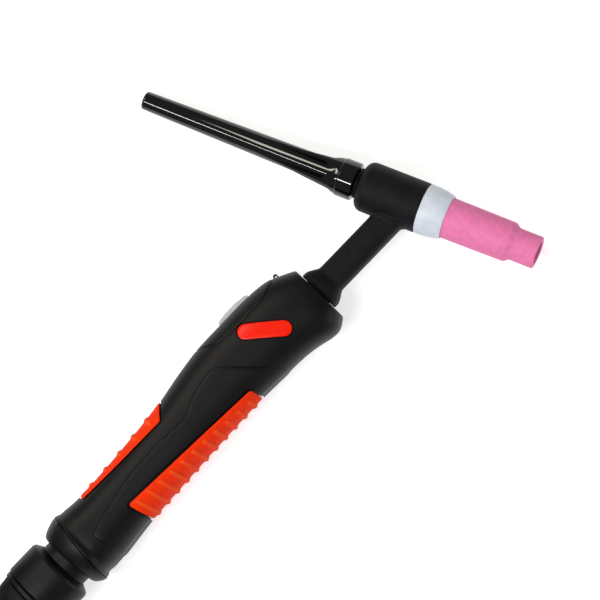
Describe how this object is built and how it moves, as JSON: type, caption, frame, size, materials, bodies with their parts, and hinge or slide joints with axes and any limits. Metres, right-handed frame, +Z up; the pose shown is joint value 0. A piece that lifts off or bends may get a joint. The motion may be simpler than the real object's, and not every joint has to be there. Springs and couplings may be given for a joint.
{
  "type": "tig welding torch",
  "caption": "TIG welding torch with trigger handle, angled head, gas cup, long back cap, ball-joint cable exit and coiled lead with its plugs.",
  "frame": {"origin": "the middle of the torch without its lead, seen from above, at floor level", "axes": "+X along the handle towards the head, +Y towards the trigger and back cap side, +Z up"},
  "size_m": [0.4852, 0.2796, 0.0374],
  "materials": {
    "soft_black": "black glass-filled nylon, fine satin grain",
    "black_rubber": "black moulded rubber, matte",
    "gloss_black": "polished black phenolic",
    "grip_orange": "orange soft grip rubber, matte",
    "badge_orange": "orange, satin, bare",
    "button_grey": "light grey, satin",
    "gasket_white": "white fluoropolymer, waxy",
    "cup_pink": "unglazed pink alumina",
    "copper": "drawn copper",
    "brass": "turned brass",
    "steel": "zinc plated steel",
    "switch_grey": "dark grey technical plastic"
  },
  "bodies": {
    "handle": {"handle_shell_upper": "soft_black", "handle_shell_lower": "soft_black", "rear_lock_ring": "soft_black", "palm_grip_insert": "grip_orange", "finger_grip_insert": "grip_orange", "switch_module": "soft_black", "module_clip": "steel", "micro_switch": "switch_grey", "badge_plate": "badge_orange", "shell_screw_1": "steel", "shell_screw_2": "steel", "shell_screw_3": "steel", "shell_screw_4": "steel", "torch_body_cover": "black_rubber", "head_core": "brass", "neck_tube": "copper", "hose_nut": "brass", "inner_hose": "black_rubber", "switch_wires": "black_rubber", "collet_body": "brass", "collet": "copper"},
    "trigger": {"trigger_button": "button_grey", "switch_plunger": "button_grey"},
    "cap_travel": {"cap_seal": "black_rubber"},
    "back_cap": {"back_cap": "gloss_black"},
    "cup_travel": {"cup_gasket": "gasket_white"},
    "gas_cup": {"gas_cup": "cup_pink"},
    "lead_body": {"swivel_bush": "switch_grey", "bend_boot": "black_rubber", "lead": "black_rubber", "lead_coil": "black_rubber", "lead_end": "black_rubber", "coil_strap": "soft_black", "plug_boot": "black_rubber", "plug_sleeve": "soft_black", "plug_pin": "brass", "gas_tail": "black_rubber", "gas_nipple": "brass", "control_tail": "black_rubber", "control_plug_body": "steel", "control_plug_insert": "switch_grey"},
    "knuckle": {"knuckle_ball": "soft_black", "knuckle_cuff": "soft_black"},
    "gas_nut": {"gas_nut": "brass"},
    "control_ring": {"control_plug_ring": "steel"}
  },
  "joints": [
    {"name": "trigger_press", "type": "slide", "parent": "handle", "child": "trigger", "axis": [0.0015, -0.996, 0.0891], "range_m": [0, 0.0018], "stiffness_N_per_m": 1000},
    {"name": "cap_travel_slide", "type": "slide", "parent": "handle", "child": "cap_travel", "axis": [-0.3759, 0.9235, -0.0765], "range_m": [0, 0.00825]},
    {"name": "cap_turn", "type": "hinge", "parent": "cap_travel", "child": "back_cap", "pos_m": [0.12603, -0.00852, 0.0129], "axis": [-0.3759, 0.9235, -0.0765], "range_deg": [0, 1980]},
    {"name": "cup_travel_slide", "type": "slide", "parent": "handle", "child": "cup_travel", "axis": [0.3759, -0.9235, 0.0765], "range_m": [0, 0.008]},
    {"name": "cup_turn", "type": "hinge", "parent": "cup_travel", "child": "gas_cup", "pos_m": [0.14257, -0.04916, 0.01626], "axis": [0.3759, -0.9235, 0.0765], "range_deg": [0, 1440]},
    {"name": "lead_swing", "type": "hinge", "parent": "handle", "child": "lead_body", "pos_m": [-0.08871, -0.03378, 0.01867], "axis": [0, 0, 1], "range_deg": [-14, 14]},
    {"name": "knuckle_spin", "type": "hinge", "parent": "lead_body", "child": "knuckle", "pos_m": [-0.08871, -0.03378, 0.01867], "axis": [1, 0, 0], "continuous": true},
    {"name": "gas_nut_spin", "type": "hinge", "parent": "lead_body", "child": "gas_nut", "pos_m": [-0.00621, 0.12742, 0.00695], "axis": [1, 0, 0], "continuous": true},
    {"name": "control_ring_spin", "type": "hinge", "parent": "lead_body", "child": "control_ring", "pos_m": [-0.00921, 0.17592, 0.0085], "axis": [1, 0, 0], "continuous": true}
  ],
  "couplings": [
    {"joint": "cap_travel_slide", "follows": "cap_turn", "m_per_rad": 0.00023873},
    {"joint": "cup_travel_slide", "follows": "cup_turn", "m_per_rad": 0.0003183}
  ]
}
